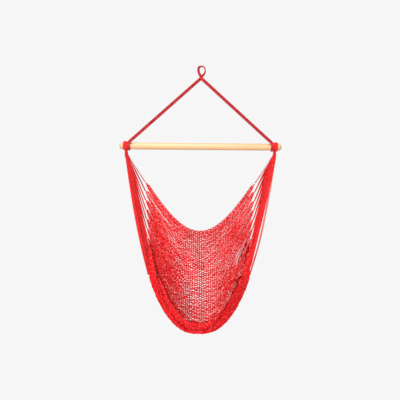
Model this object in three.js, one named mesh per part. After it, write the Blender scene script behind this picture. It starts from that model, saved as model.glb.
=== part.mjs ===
import * as THREE from 'three';

// A net hammock chair: a cord eye, a doubled suspension rope down to each end of a wooden
// spreader bar, and a knitted net seat that hangs from the bar on fans of thin strings.
// Millimetres, +Z up, the sitter faces -Y. The origin is the inside top of the hanging eye.

// Gap left between pieces that touch on the real chair
const CLEARANCE = 0.3;

// Spreader bar: a turned dowel, domed at the ends, with a shallow groove for the hitches
const BAR_LENGTH = 900;
const BAR_DIAMETER = 38;
const BAR_DROP = 442;
const BAR_DOME_LENGTH = 15;
const GROOVE_DEPTH = 1.5;
const GROOVE_END_INSET = 17;
const GROOVE_WIDTH = 55;
const GROOVE_FLANK = 5;

// Suspension cord: two cords laid side by side, seen as one flat band with a groove
const ROPE_WIDTH = 16.5;
const ROPE_THICKNESS = 6.8;
const HITCH_END_INSET = 52;
const HITCH_LEAD = 6;
const THROAT_BEND_RADIUS = 16;
const HITCH_BEND_RADIUS = 22;
const HITCH_WRAP_DEGREES = 322;

// Hanging eye: the opening that a hook goes through, and the straight throat below it
const EYE_OPENING_WIDTH = 26;
const EYE_OPENING_HEIGHT = 52;
const THROAT_TOP_DROP = 61;
const THROAT_LENGTH = 12.2;

// Whipping thread, wound round the throat of the eye and the neck of each string bundle
const THREAD_DIAMETER = 2;
const THREAD_PITCH = 2.6;
const THREAD_TURNS = 4;

// Seat eyes: the gathered end of a bundle, wide over the bar and narrow at its neck
const SEAT_EYE_WIDTH = 22;
const SEAT_EYE_THICKNESS = 8;
const SEAT_EYE_GAP = 1.5;
const NECK_END_INSET = 38.5;
const NECK_DROP = 30;
const NECK_WIDTH = 15;
const NECK_THICKNESS = 6;
const NECK_LENGTH = 8;

// Arm strings: doubled, one for each gathered point of the net's side edge. At the neck
// they are packed in rows that lie the way the strings fan out, so that none cross.
const STRING_DIAMETER = 1.8;
const STRING_PITCH = 1.2;
const STRING_ROW_PITCH = 1.9;
const STRING_ROW_DEGREES = 50;
const STRING_MOUTH_DROP = 1.6;

// Seat net, as hung: the side edges and the middle line, from the back edge to the front
const BACK_CORNER_X = 302;
const BACK_CORNER_Y = 92;
const BACK_CORNER_DROP = 203;
const FRONT_CORNER_X = 268;
const FRONT_CORNER_Y = 48;
const FRONT_CORNER_DROP = 716;
const BACK_MIDDLE_DROP = 480;
const SEAT_DEPTH_BACK = 154;
const SEAT_DEPTH_FRONT = 57;
const SEAT_BOTTOM_DROP = 1025;

// Seat net, as knitted: cells across from arm to arm and down from back to front
const NET_CELLS_ACROSS = 13;
const NET_CELLS_DOWN = 10;
const NET_THICKNESS = 5;
const NET_BORDER = 9;

// Gathered points of the side edge: a small loop on each, which a string goes through
const LOOP_HOLE_LENGTH = 6;
const LOOP_HOLE_WIDTH = 6;
const LOOP_BAR_WIDTH = 4;
const LOOP_WIDTH = 13;
const LOOP_ROOT = 3;
const LOOP_LEAN_SHARE = 0.75;

// Front hem and back edge cord
const HEM_WIDTH = 60;
const HEM_THICKNESS = 24;
const HEM_EDGE_INSET = 12;
const BACK_CORD_DIAMETER = 6;
const BACK_CORD_END_SHARE = 0.25;

const BAR_Z = -BAR_DROP;
const GROOVE_RADIUS = BAR_DIAMETER / 2 - GROOVE_DEPTH;
const GROOVE_OUTER_X = BAR_LENGTH / 2 - GROOVE_END_INSET;
const GROOVE_INNER_X = GROOVE_OUTER_X - GROOVE_WIDTH;
const HITCH_X = BAR_LENGTH / 2 - HITCH_END_INSET;
const NECK_X = BAR_LENGTH / 2 - NECK_END_INSET;
const Y_AXIS = new THREE.Vector3(0, 1, 0);

const cordRed = new THREE.MeshStandardMaterial({ color: 0xd8262b, roughness: 0.75 });
const netRed = new THREE.MeshStandardMaterial({ color: 0xe2332f, roughness: 0.85 });
const hemRed = new THREE.MeshStandardMaterial({ color: 0xe02024, roughness: 0.8 });
const threadRed = new THREE.MeshStandardMaterial({ color: 0xb81f24, roughness: 0.7 });
const paleWood = new THREE.MeshStandardMaterial({ color: 0xf0d2a0, roughness: 0.5 });

// Outline of two cords side by side: half a turn of each, and the groove between them
const LOBE_POINTS_SHARES = [
  [1, 0], [0.84, 0.8], [0.5, 1], [0.14, 0.8], [-0.14, 0.8], [-0.5, 1], [-0.84, 0.8],
  [-1, 0], [-0.84, -0.8], [-0.5, -1], [-0.14, -0.8], [0.14, -0.8], [0.5, -1], [0.84, -0.8],
];

// Outline of the rolled hem: a flat roll whose free edge leaves a crease along its front
const HEM_POINTS_SHARES = [
  [1, 0], [0.84, 0.56], [0.5, 0.8], [0.22, 0.42], [0.04, 0.84], [-0.32, 1],
  [-0.74, 0.72], [-1, 0], [-0.88, -0.78], [-0.66, -1], [0.35, -1], [0.82, -0.66],
];

function roundOutline(sides) {
  const outline = [];
  for (let k = 0; k < sides; k += 1) {
    const turn = (2 * Math.PI * k) / sides;
    outline.push([Math.cos(turn), Math.sin(turn)]);
  }
  return outline;
}

// Gives each station its direction along the route and squares its width to it
function squareUp(stations) {
  stations.forEach((station, k) => {
    const before = stations[Math.max(k - 1, 0)].at;
    const after = stations[Math.min(k + 1, stations.length - 1)].at;
    station.along = station.along ?? after.clone().sub(before);
    station.along.normalize();
    station.across = station.across.clone();
    station.across.addScaledVector(station.along, -station.across.dot(station.along));
    station.across.normalize();
  });
  return stations;
}

// A closed solid along a route: one ring of the outline at each station, and two ends
function sweep(route, outline) {
  const stations = squareUp(route);
  const count = outline.length;
  const positions = [];
  const index = [];
  for (const { at, along, across, width, thickness } of stations) {
    const normal = new THREE.Vector3().crossVectors(along, across);
    for (const [a, b] of outline) {
      const point = at.clone();
      point.addScaledVector(across, (a * width) / 2);
      point.addScaledVector(normal, (b * thickness) / 2);
      positions.push(point.x, point.y, point.z);
    }
  }
  for (let ring = 0; ring + 1 < stations.length; ring += 1) {
    for (let k = 0; k < count; k += 1) {
      const a = ring * count + k;
      const b = ring * count + ((k + 1) % count);
      index.push(a, b, b + count, a, b + count, a + count);
    }
  }
  const first = stations[0].at;
  const last = stations[stations.length - 1].at;
  const start = positions.length / 3;
  positions.push(first.x, first.y, first.z, last.x, last.y, last.z);
  const lastRing = (stations.length - 1) * count;
  for (let k = 0; k < count; k += 1) {
    const next = (k + 1) % count;
    index.push(start, next, k);
    index.push(start + 1, lastRing + k, lastRing + next);
  }
  const geometry = new THREE.BufferGeometry();
  geometry.setAttribute('position', new THREE.Float32BufferAttribute(positions, 3));
  geometry.setIndex(index);
  return geometry;
}

// How far out the corners of a faceted arc lie, for its sides to clear the true arc
function facetReach(arcDegrees, steps) {
  return 1 / Math.cos(THREE.MathUtils.degToRad(arcDegrees / steps / 2));
}

// The smallest gap between stations of a winding that are at least half a turn apart
function leastGap(route, stepsPerTurn, diameter) {
  let least = Infinity;
  route.forEach((a, i) => {
    for (let k = i + Math.floor(stepsPerTurn / 2); k < route.length; k += 1) {
      least = Math.min(least, a.at.distanceTo(route[k].at) - diameter);
    }
  });
  return least;
}

const chair = new THREE.Group();

function addPiece(name, geometry, material, parent = chair) {
  const mesh = new THREE.Mesh(geometry, material);
  mesh.name = name;
  parent.add(mesh);
  return mesh;
}

// Spreader bar
function barGeometry() {
  const radius = BAR_DIAMETER / 2;
  const half = BAR_LENGTH / 2;
  const domeSteps = 5;
  const right = [];
  right.push(new THREE.Vector2(radius, GROOVE_INNER_X - GROOVE_FLANK));
  right.push(new THREE.Vector2(GROOVE_RADIUS, GROOVE_INNER_X));
  right.push(new THREE.Vector2(GROOVE_RADIUS, GROOVE_OUTER_X - GROOVE_FLANK));
  right.push(new THREE.Vector2(radius, GROOVE_OUTER_X));
  for (let k = 1; k <= domeSteps; k += 1) {
    const turn = (Math.PI / 2) * (k / domeSteps);
    const along = half - BAR_DOME_LENGTH + BAR_DOME_LENGTH * Math.sin(turn);
    right.push(new THREE.Vector2(k === domeSteps ? 0 : radius * Math.cos(turn), along));
  }
  const left = right.map((p) => new THREE.Vector2(p.x, -p.y)).reverse();
  const sides = 32;
  const geometry = new THREE.LatheGeometry([...left, ...right], sides);
  geometry.rotateZ(-Math.PI / 2);
  return geometry;
}

const bar = addPiece('spreader_bar', barGeometry(), paleWood);
bar.position.z = BAR_Z;

// Hanging eye: broad side to the front on the left, edge on at the right, crossed below.
// Each row is the share of the opening's width, the layer, the share of its height, and
// the share of a quarter turn by which the band is rolled.
const EYE_ROUTE_SHARES = [
  [-0.13, -1, -1.02, 0],
  [-0.4, -0.8, -0.77, 0],
  [-0.56, -0.3, -0.46, 0.1],
  [-0.46, 0, -0.12, 0.5],
  [0.08, 0, 0, 1],
  [0.65, 0, -0.1, 1],
  [0.86, 0.3, -0.42, 1],
  [0.7, 0.8, -0.77, 0.6],
  [0.22, 1, -1.04, 0.1],
];
const LAYER_OFFSET = ROPE_THICKNESS / 2 + CLEARANCE / 2;
const THROAT_END_Z = -THROAT_TOP_DROP - THROAT_LENGTH;

function eyeRoute() {
  const controls = EYE_ROUTE_SHARES.map(([x, layer, z]) => new THREE.Vector3(
    x * EYE_OPENING_WIDTH,
    layer * LAYER_OFFSET,
    z * EYE_OPENING_HEIGHT + ROPE_THICKNESS / 2,
  ));
  const rolls = EYE_ROUTE_SHARES.map((row) => row[3]);
  for (const [layer, add] of [[-1, 'unshift'], [1, 'push']]) {
    controls[add](new THREE.Vector3(0, layer * LAYER_OFFSET, -THROAT_TOP_DROP));
    controls[add](new THREE.Vector3(0, layer * LAYER_OFFSET, THROAT_END_Z));
    rolls[add](0);
    rolls[add](0);
  }
  const curve = new THREE.CatmullRomCurve3(controls, false, 'centripetal');
  const spans = controls.length - 1;
  const stepsPerSpan = 3;
  const stations = [];
  for (let k = 0; k <= spans * stepsPerSpan; k += 1) {
    const t = k / (spans * stepsPerSpan);
    const span = Math.min(Math.floor(t * spans), spans - 1);
    const roll = THREE.MathUtils.lerp(rolls[span], rolls[span + 1], t * spans - span);
    const along = k === 0 ? new THREE.Vector3(0, 0, 1) : curve.getTangent(t);
    if (k === spans * stepsPerSpan) along.set(0, 0, -1);
    const inPlane = new THREE.Vector3().crossVectors(Y_AXIS, along).normalize();
    const across = inPlane.multiplyScalar(Math.cos((roll * Math.PI) / 2));
    across.addScaledVector(Y_AXIS, Math.sin((roll * Math.PI) / 2));
    stations.push({ at: curve.getPoint(t), along, across, width: ROPE_WIDTH, thickness: ROPE_THICKNESS });
  }
  return stations;
}

addPiece('hanging_eye', sweep(eyeRoute(), LOBE_POINTS_SHARES), cordRed);

// Whippings: one thread wound closely round what it binds
const WHIPPING_MARGIN = THREAD_DIAMETER / 2 + CLEARANCE;
// A square-cornered stack reaches further at its corners than a rounded winding does
const CORNER_MARGIN = 1;
const THREAD_SIDES = 5;

function addWhipping(name, centre, boundX, boundY) {
  const stepsPerTurn = 14;
  const halfX = boundX + WHIPPING_MARGIN + CORNER_MARGIN;
  const halfY = boundY + WHIPPING_MARGIN + CORNER_MARGIN;
  const roundness = 2 / 3;
  const bend = (value) => Math.sign(value) * Math.abs(value) ** roundness;
  const height = THREAD_TURNS * THREAD_PITCH;
  const stations = [];
  for (let k = 0; k <= THREAD_TURNS * stepsPerTurn; k += 1) {
    const turn = (2 * Math.PI * k) / stepsPerTurn;
    const offset = new THREE.Vector3(halfX * bend(Math.cos(turn)), halfY * bend(Math.sin(turn)), 0);
    offset.z = height / 2 - (height * k) / (THREAD_TURNS * stepsPerTurn);
    stations.push({
      at: centre.clone().add(offset),
      across: new THREE.Vector3(0, 0, 1),
      width: THREAD_DIAMETER,
      thickness: THREAD_DIAMETER,
    });
  }
  addPiece(name, sweep(stations, roundOutline(THREAD_SIDES)), threadRed);
  const gap = leastGap(stations, stepsPerTurn, THREAD_DIAMETER);
  console.log(`${name}: least gap to itself ${gap.toFixed(2)} mm`);
}

const throatCentre = new THREE.Vector3(0, 0, -THROAT_TOP_DROP - THROAT_LENGTH / 2);
addWhipping('throat_whipping', throatCentre, ROPE_WIDTH / 2, 2 * LAYER_OFFSET);

// Suspension ropes: down from the throat, out to the bar and once round it.
// side is -1 for the left rope, which lies behind the right one at the throat.
function ropeRoute(side) {
  const wrapSteps = 20;
  const wrapRadius = GROOVE_RADIUS * facetReach(HITCH_WRAP_DEGREES, wrapSteps)
    + CLEARANCE + ROPE_THICKNESS / 2;
  const top = new THREE.Vector3(0, -side * LAYER_OFFSET, THROAT_END_Z - CLEARANCE);
  const drop = top.z - BAR_Z - HITCH_LEAD;
  // Two opposite bends joined by a straight: the angle from plumb that closes the route
  const bends = THROAT_BEND_RADIUS + HITCH_BEND_RADIUS;
  const out = HITCH_X - bends;
  const straight = Math.sqrt(out * out + drop * drop - bends * bends);
  const angle = Math.atan2(bends * drop + straight * out, straight * drop - bends * out);
  const bendSteps = 4;
  const plane = [];
  for (let k = 0; k <= bendSteps; k += 1) {
    const turn = (angle * k) / bendSteps;
    plane.push([THROAT_BEND_RADIUS * (1 - Math.cos(turn)), THROAT_BEND_RADIUS * Math.sin(turn)]);
  }
  for (let k = bendSteps; k >= 0; k -= 1) {
    const turn = (angle * k) / bendSteps;
    const short = HITCH_BEND_RADIUS * (1 - Math.cos(turn));
    plane.push([HITCH_X - short, drop - HITCH_BEND_RADIUS * Math.sin(turn)]);
  }
  const bendFall = plane[bendSteps][1];
  const stations = plane.map(([x, fall]) => {
    const share = Math.max((fall - bendFall) / (drop - bendFall), 0);
    const y = THREE.MathUtils.lerp(top.y, -wrapRadius, share);
    return { at: new THREE.Vector3(side * x, y, top.z - fall) };
  });
  stations.forEach((station, k) => {
    const before = stations[Math.max(k - 1, 0)].at;
    const after = stations[Math.min(k + 1, stations.length - 1)].at;
    const along = after.clone().sub(before);
    station.across = new THREE.Vector3().crossVectors(Y_AXIS, along);
  });
  stations[0].along = new THREE.Vector3(0, 0, -1);
  for (let k = 0; k <= wrapSteps; k += 1) {
    const turn = THREE.MathUtils.degToRad((HITCH_WRAP_DEGREES * k) / wrapSteps);
    stations.push({
      at: new THREE.Vector3(
        side * HITCH_X,
        -wrapRadius * Math.cos(turn),
        BAR_Z - wrapRadius * Math.sin(turn),
      ),
      along: new THREE.Vector3(0, Math.sin(turn), -Math.cos(turn)),
      across: new THREE.Vector3(-1, 0, 0),
    });
  }
  for (const station of stations) {
    station.width = ROPE_WIDTH;
    station.thickness = ROPE_THICKNESS;
  }
  return stations;
}

addPiece('suspension_rope_left', sweep(ropeRoute(-1), LOBE_POINTS_SHARES), cordRed);
addPiece('suspension_rope_right', sweep(ropeRoute(1), LOBE_POINTS_SHARES), cordRed);

// Seat eyes: up the front of the bar, over it, down the back, and together at the neck
const SEAT_EYE_X = HITCH_X + ROPE_WIDTH / 2 + SEAT_EYE_GAP + SEAT_EYE_WIDTH / 2;
const NECK_LAYER = NECK_THICKNESS / 2 + CLEARANCE / 2;

function seatEyeRoute(side) {
  const straightSteps = 3;
  const arcSteps = 16;
  const radius = GROOVE_RADIUS * facetReach(270, arcSteps) + CLEARANCE + SEAT_EYE_THICKNESS / 2;
  const distance = Math.hypot(NECK_LAYER, NECK_DROP);
  const lean = Math.atan2(NECK_LAYER, NECK_DROP);
  const contact = Math.acos(radius / distance) + lean;
  const stations = [];
  const place = (x, y, z, share) => stations.push({
    at: new THREE.Vector3(side * x, y, BAR_Z + z),
    across: new THREE.Vector3(1, 0, 0),
    width: THREE.MathUtils.lerp(NECK_WIDTH, SEAT_EYE_WIDTH, share),
    thickness: THREE.MathUtils.lerp(NECK_THICKNESS, SEAT_EYE_THICKNESS, share),
  });
  const reach = radius * Math.sin(contact);
  const fall = radius * Math.cos(contact);
  const upFront = [];
  for (let k = 0; k < straightSteps; k += 1) {
    const share = k / straightSteps;
    upFront.push([
      THREE.MathUtils.lerp(NECK_X, SEAT_EYE_X, share),
      THREE.MathUtils.lerp(-NECK_LAYER, -reach, share),
      THREE.MathUtils.lerp(-NECK_DROP, -fall, share),
      share,
    ]);
  }
  place(NECK_X, -NECK_LAYER, -NECK_DROP - NECK_LENGTH, 0);
  upFront.forEach((row) => place(...row));
  for (let k = 0; k <= arcSteps; k += 1) {
    const turn = contact + ((2 * Math.PI - 2 * contact) * k) / arcSteps;
    place(SEAT_EYE_X, -radius * Math.sin(turn), -radius * Math.cos(turn), 1);
  }
  upFront.reverse().forEach(([x, y, z, share]) => place(x, -y, z, share));
  place(NECK_X, NECK_LAYER, -NECK_DROP - NECK_LENGTH, 0);
  stations[0].along = new THREE.Vector3(0, 0, 1);
  stations[stations.length - 1].along = new THREE.Vector3(0, 0, -1);
  return stations;
}

// The net's surface as it hangs: side edges and middle line, and rows that sag between
// Places down the side edge: share of the way out, share from back to front, share down
const SIDE_EDGE_SHARES = [
  [0, 0, 0], [0.1, 0.2, 0.24], [0.32, 0.44, 0.5], [0.68, 0.72, 0.76], [1, 1, 1],
];
// Places down the middle line: share of the depth behind or before the bar, share down
const MIDDLE_BACK_SHARES = [[0.68, 0], [0.94, 0.22], [1, 0.46], [0.8, 0.7], [0.36, 0.88]];
const MIDDLE_FRONT_SHARES = [[0.2, 0.975], [0.68, 1], [1, 0.985]];

const sideEdge = new THREE.CatmullRomCurve3(SIDE_EDGE_SHARES.map(([x, y, z]) => new THREE.Vector3(
  THREE.MathUtils.lerp(BACK_CORNER_X, FRONT_CORNER_X, x),
  THREE.MathUtils.lerp(BACK_CORNER_Y, -FRONT_CORNER_Y, y),
  BAR_Z - THREE.MathUtils.lerp(BACK_CORNER_DROP, FRONT_CORNER_DROP, z),
)), false, 'centripetal');

const middleDrop = (share) => BAR_Z - THREE.MathUtils.lerp(BACK_MIDDLE_DROP, SEAT_BOTTOM_DROP, share);
const middleLine = new THREE.CatmullRomCurve3([
  ...MIDDLE_BACK_SHARES.map(([y, z]) => new THREE.Vector3(0, y * SEAT_DEPTH_BACK, middleDrop(z))),
  ...MIDDLE_FRONT_SHARES.map(([y, z]) => new THREE.Vector3(0, -y * SEAT_DEPTH_FRONT, middleDrop(z))),
], false, 'centripetal');

// How a row rises from its middle to its end: near the back it runs straight to the
// corner, as a taut string does, and towards the front it hangs as a round bag
const BACK_ROW_EASE_SHARE = 0.9;
const FRONT_ROW_POWER = 2.5;

function rowRise(out, v) {
  const ease = (value) => Math.sqrt(1 + (value / BACK_ROW_EASE_SHARE) ** 2) - 1;
  const taut = ease(out) / ease(1);
  return THREE.MathUtils.lerp(taut, out ** FRONT_ROW_POWER, v);
}

class HangingRow extends THREE.Curve {
  constructor(v) {
    super();
    this.v = v;
    this.side = sideEdge.getPointAt(v);
    this.middle = middleLine.getPointAt(v);
  }

  getPoint(t, target = new THREE.Vector3()) {
    const across = 2 * t - 1;
    const out = Math.abs(across);
    return target.set(
      across * this.side.x,
      THREE.MathUtils.lerp(this.middle.y, this.side.y, out * out),
      THREE.MathUtils.lerp(this.middle.z, this.side.z, rowRise(out, this.v)),
    );
  }
}

const rows = new Map();

// u runs from -1 at the left side edge to 1 at the right, v from 0 at the back to 1
function netPoint(u, v) {
  const key = v.toFixed(6);
  if (!rows.has(key)) rows.set(key, new HangingRow(v));
  return rows.get(key).getPointAt(THREE.MathUtils.clamp((u + 1) / 2, 0, 1));
}

// The surface's own directions at a place: across the net, down it, out of it, and square
// to its rows
function netFrame(u, v) {
  const stepShare = 0.01;
  const low = (value, least) => Math.max(value - stepShare, least);
  const high = (value) => Math.min(value + stepShare, 1);
  const across = netPoint(high(u), v).sub(netPoint(low(u, -1), v)).normalize();
  const down = netPoint(u, high(v)).sub(netPoint(u, low(v, 0))).normalize();
  const outward = new THREE.Vector3().crossVectors(across, down).normalize();
  const square = new THREE.Vector3().crossVectors(outward, across);
  return { across, down, outward, square };
}

// The net itself. Knots lie where the column and row add up to an even number, and a hole
// where they add up to an odd one. Each hole has a corner towards each knot round it.
const COLUMNS = 2 * NET_CELLS_ACROSS;
const ROWS = 2 * NET_CELLS_DOWN;
const HOLE_REACH_SHARE = 0.8;
const NOTCH_REACH_SHARE = 0.7;
const BORDER_SHARE = 0.14;

const neckBottomZ = BAR_Z - NECK_DROP - NECK_LENGTH;
const neckCentreZ = neckBottomZ;
const mouthZ = neckCentreZ - (THREAD_TURNS * THREAD_PITCH) / 2 - STRING_MOUTH_DROP;

// The loop on a gathered point: it stands out from the net's edge and leans the way its
// string pulls it
function sideLoop(side, row) {
  const v = row / ROWS;
  const root = netPoint(side, v);
  const { across, down } = netFrame(side, v);
  const away = across.multiplyScalar(side);
  away.addScaledVector(down, -away.dot(down)).normalize();
  const pull = new THREE.Vector3(side * NECK_X, 0, mouthZ).sub(root).normalize();
  const lean = away.addScaledVector(pull, LOOP_LEAN_SHARE).normalize();
  const edge = down.addScaledVector(lean, -down.dot(lean)).normalize();
  const outward = new THREE.Vector3().crossVectors(lean, edge).multiplyScalar(side).normalize();
  return { root, lean, edge, outward };
}

const netVertices = [];
const netVertexAt = new Map();

function netVertex(name, column, row, point, outward) {
  if (!netVertexAt.has(name)) {
    netVertexAt.set(name, netVertices.length);
    netVertices.push({ column, row, point, outward });
  }
  return netVertexAt.get(name);
}

function surfaceVertex(name, column, row, lift = 0) {
  const u = THREE.MathUtils.clamp((2 * column) / COLUMNS - 1, -1, 1);
  const v = THREE.MathUtils.clamp(row / ROWS, 0, 1);
  const { outward, square } = netFrame(u, v);
  const point = netPoint(u, v).addScaledVector(square, lift);
  return netVertex(name, column, row + Math.sign(lift), point, outward);
}

// A corner of the hole at a column and row, towards the knot that way
function holeCorner(column, row, way) {
  const [right, down] = { left: [-1, 0], right: [1, 0], up: [0, -1], down: [0, 1] }[way];
  const isNotch = column === 0 || column === COLUMNS;
  let cornerRow = row + down * (isNotch ? NOTCH_REACH_SHARE : HOLE_REACH_SHARE);
  if (row === 0 && right !== 0) cornerRow = BORDER_SHARE;
  if (row === ROWS && right !== 0) cornerRow = ROWS - BORDER_SHARE;
  return surfaceVertex(`${column} ${row} ${way}`, column + right * HOLE_REACH_SHARE, cornerRow);
}

function borderVertex(column, row) {
  const lift = row === 0 ? -NET_BORDER / 2 : NET_BORDER / 2;
  return surfaceVertex(`border ${column} ${row}`, column, row, lift);
}

// The six corners of a side loop, named by how far out and which way along the edge
function loopVertex(side, row, along, edgeWay, halfWidth) {
  const { root, lean, edge, outward } = sideLoop(side, row);
  const point = root.clone().addScaledVector(lean, along).addScaledVector(edge, edgeWay * halfWidth);
  const column = side < 0 ? -along : COLUMNS + along;
  return netVertex(`loop ${side} ${row} ${along} ${edgeWay} ${halfWidth}`,
    column, row + edgeWay * halfWidth / LOOP_WIDTH, point, outward);
}

const LOOP_HOLE_END = LOOP_ROOT + LOOP_HOLE_LENGTH;
const LOOP_END = LOOP_HOLE_END + LOOP_BAR_WIDTH;

function netFaces() {
  const faces = [];
  for (let row = 0; row <= ROWS; row += 1) {
    for (let column = row % 2; column <= COLUMNS; column += 2) {
      const up = row === 0 ? borderVertex(column, 0) : holeCorner(column, row - 1, 'down');
      const down = row === ROWS ? borderVertex(column, ROWS) : holeCorner(column, row + 1, 'up');
      const left = column === 0 ? null : holeCorner(column - 1, row, 'right');
      const right = column === COLUMNS ? null : holeCorner(column + 1, row, 'left');
      if (left !== null && right !== null) {
        faces.push([up, right, down, left]);
      } else {
        const side = left === null ? -1 : 1;
        const loop = (along, way, half) => loopVertex(side, row, along, way, half);
        const holeHalf = LOOP_HOLE_WIDTH / 2;
        const innerUp = loop(LOOP_ROOT, -1, holeHalf);
        const innerDown = loop(LOOP_ROOT, 1, holeHalf);
        const outerUp = loop(LOOP_HOLE_END, -1, holeHalf);
        const outerDown = loop(LOOP_HOLE_END, 1, holeHalf);
        const endUp = loop(LOOP_END, -1, LOOP_WIDTH / 2);
        const endDown = loop(LOOP_END, 1, LOOP_WIDTH / 2);
        faces.push([up, left ?? right, down, innerDown, innerUp]);
        faces.push([up, innerUp, outerUp, endUp]);
        faces.push([endUp, outerUp, outerDown, endDown]);
        faces.push([endDown, outerDown, innerDown, down]);
      }
      if (row < ROWS && right !== null) {
        faces.push([
          holeCorner(column + 1, row, 'left'), holeCorner(column + 1, row, 'down'),
          holeCorner(column, row + 1, 'right'), holeCorner(column, row + 1, 'up'),
        ]);
      }
      if (row < ROWS && left !== null) {
        faces.push([
          holeCorner(column - 1, row, 'right'), holeCorner(column - 1, row, 'down'),
          holeCorner(column, row + 1, 'left'), holeCorner(column, row + 1, 'up'),
        ]);
      }
      if ((row === 0 || row === ROWS) && column < COLUMNS) {
        faces.push([
          borderVertex(column, row), borderVertex(column + 2, row),
          holeCorner(column + 1, row, 'right'), holeCorner(column + 1, row, 'left'),
        ]);
      }
    }
  }
  return faces;
}

// Turns a face so that it runs the same way round as the rest, seen on the flat net
function turned(face) {
  let area = 0;
  face.forEach((vertex, k) => {
    const a = netVertices[vertex];
    const b = netVertices[face[(k + 1) % face.length]];
    area += a.column * b.row - b.column * a.row;
  });
  return area > 0 ? face : face.slice().reverse();
}

// Gives flat faces a thickness: a sheet on each side, and a wall along every open edge
function thickened(faces, vertices, thickness) {
  const positions = [];
  for (const way of [1, -1]) {
    for (const { point, outward } of vertices) {
      const place = point.clone().addScaledVector(outward, (way * thickness) / 2);
      positions.push(place.x, place.y, place.z);
    }
  }
  const count = vertices.length;
  const edges = new Set();
  for (const face of faces) {
    face.forEach((a, k) => edges.add(`${a} ${face[(k + 1) % face.length]}`));
  }
  const index = [];
  for (const face of faces) {
    for (let k = 1; k + 1 < face.length; k += 1) {
      index.push(face[0], face[k], face[k + 1]);
      index.push(face[0] + count, face[k + 1] + count, face[k] + count);
    }
    face.forEach((a, k) => {
      const b = face[(k + 1) % face.length];
      if (!edges.has(`${b} ${a}`)) index.push(a, a + count, b + count, a, b + count, b);
    });
  }
  const geometry = new THREE.BufferGeometry();
  geometry.setAttribute('position', new THREE.Float32BufferAttribute(positions, 3));
  geometry.setIndex(index);
  return geometry;
}

const flatFaces = netFaces().map(turned);
addPiece('seat_net', thickened(flatFaces, netVertices, NET_THICKNESS), netRed);

// Arm strings: each goes from the neck to its loop, through it, and back
const LOOP_BAR_CORNER = Math.hypot(LOOP_BAR_WIDTH, NET_THICKNESS) / 2;
const STRING_SIDES = 5;
const STRING_BEND_STEPS = 6;
const STRING_BEND_RADIUS = (LOOP_BAR_CORNER + CLEARANCE + STRING_DIAMETER / 2)
  * facetReach(180, STRING_BEND_STEPS);

// Where a string's two legs lie in the neck: along its row, and in which row
function legInNeck(side, number, rowShift) {
  const along = (number - NET_CELLS_DOWN / 2) * STRING_PITCH;
  const across = (rowShift + (number % 2 === 0 ? -0.5 : 0.5)) * STRING_ROW_PITCH;
  const turn = THREE.MathUtils.degToRad(STRING_ROW_DEGREES);
  const x = NECK_X + along * Math.cos(turn) + across * Math.sin(turn);
  const y = across * Math.cos(turn) - along * Math.sin(turn);
  return new THREE.Vector3(side * x, y, 0);
}

function stringRoute(side, number) {
  const { root, lean, edge, outward } = sideLoop(side, 2 * number);
  const loopBar = root.clone().addScaledVector(lean, LOOP_END - LOOP_BAR_WIDTH / 2);
  const behind = legInNeck(side, number, 1);
  const before = legInNeck(side, number, -1);
  const places = [];
  const placeAt = (out, along) => places.push(
    loopBar.clone().addScaledVector(outward, out).addScaledVector(lean, along),
  );
  places.push(behind.clone().setZ(neckBottomZ - CLEARANCE), behind.clone().setZ(mouthZ));
  placeAt(STRING_BEND_RADIUS, LOOP_BAR_WIDTH);
  for (let k = 0; k <= STRING_BEND_STEPS; k += 1) {
    const turn = (Math.PI * k) / STRING_BEND_STEPS;
    placeAt(STRING_BEND_RADIUS * Math.cos(turn), -STRING_BEND_RADIUS * Math.sin(turn));
  }
  placeAt(-STRING_BEND_RADIUS, LOOP_BAR_WIDTH);
  places.push(before.clone().setZ(mouthZ), before.clone().setZ(neckBottomZ - CLEARANCE));
  const stations = places.map((at) => ({
    at,
    across: edge,
    width: STRING_DIAMETER,
    thickness: STRING_DIAMETER,
  }));
  stations[0].along = new THREE.Vector3(0, 0, -1);
  stations[stations.length - 1].along = new THREE.Vector3(0, 0, 1);
  return stations;
}

for (const [side, hand] of [[-1, 'left'], [1, 'right']]) {
  addPiece(`seat_eye_${hand}`, sweep(seatEyeRoute(side), LOBE_POINTS_SHARES), cordRed);
  const centre = new THREE.Vector3(side * NECK_X, 0, neckCentreZ);
  addWhipping(`neck_whipping_${hand}`, centre, NECK_WIDTH / 2, 2 * NECK_LAYER);
  for (let number = 0; number <= NET_CELLS_DOWN; number += 1) {
    const name = `arm_string_${hand}_${String(number + 1).padStart(2, '0')}`;
    addPiece(name, sweep(stringRoute(side, number), roundOutline(STRING_SIDES)), cordRed);
  }
}

// Front hem: the net's front margin rolled into a lip, thin at the corners
function hemRoute() {
  const steps = 36;
  const endShare = 0.72;
  const taperShare = 0.14;
  const stations = [];
  for (let k = 0; k <= steps; k += 1) {
    const u = (2 * k) / steps - 1;
    const rise = Math.min((1 - Math.abs(u)) / taperShare, 1);
    const size = THREE.MathUtils.lerp(endShare, 1, Math.sin((rise * Math.PI) / 2));
    const { across, outward, square } = netFrame(u, 1);
    const inward = new THREE.Vector3().crossVectors(across, Y_AXIS).normalize();
    const netFront = (NET_BORDER / 2) * Math.abs(square.y) + (NET_THICKNESS / 2) * Math.abs(outward.y);
    const width = HEM_WIDTH * size;
    const thickness = HEM_THICKNESS * size;
    const at = netPoint(u, 1);
    at.addScaledVector(inward, width / 2 - HEM_EDGE_INSET * size);
    at.y -= netFront + 2 * CLEARANCE + thickness / 2;
    stations.push({ at, across: inward, width, thickness });
  }
  return stations;
}

addPiece('front_hem', sweep(hemRoute(), HEM_POINTS_SHARES), hemRed);

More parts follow.
